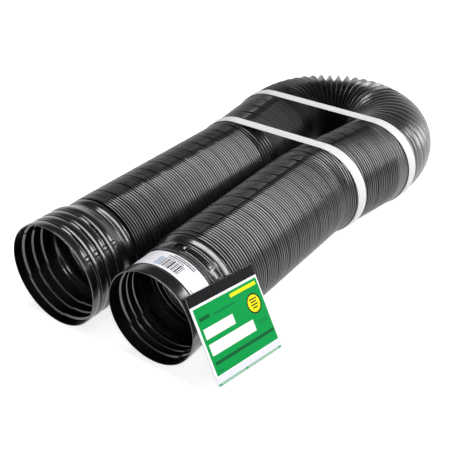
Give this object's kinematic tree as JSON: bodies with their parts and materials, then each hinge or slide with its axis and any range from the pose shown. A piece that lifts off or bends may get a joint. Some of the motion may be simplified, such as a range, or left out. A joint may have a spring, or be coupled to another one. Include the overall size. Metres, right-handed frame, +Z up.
{
  "type": "flexible drainage pipe",
  "caption": "Accordion drainage pipe with a socket at one end and a spigot at the other, folded flat into a U and held by two flat straps.",
  "frame": {"origin": "middle of the whole part's box, on the floor that it lies on", "axes": "+Z up, +Y from the two mouths towards the folded loop, so the mouths look towards -Y; +X towards the leg with the label and the tag"},
  "size_m": [0.2959, 0.6103, 0.123],
  "materials": {
    "pipe_plastic": "gloss",
    "strap_plastic": "satin",
    "label_paper": "matte",
    "tag_card": "satin"
  },
  "bodies": {
    "root": {"pipe": "pipe_plastic", "front_strap": "strap_plastic", "rear_strap": "strap_plastic", "label": "label_paper", "tag": "tag_card"}
  },
  "joints": []
}
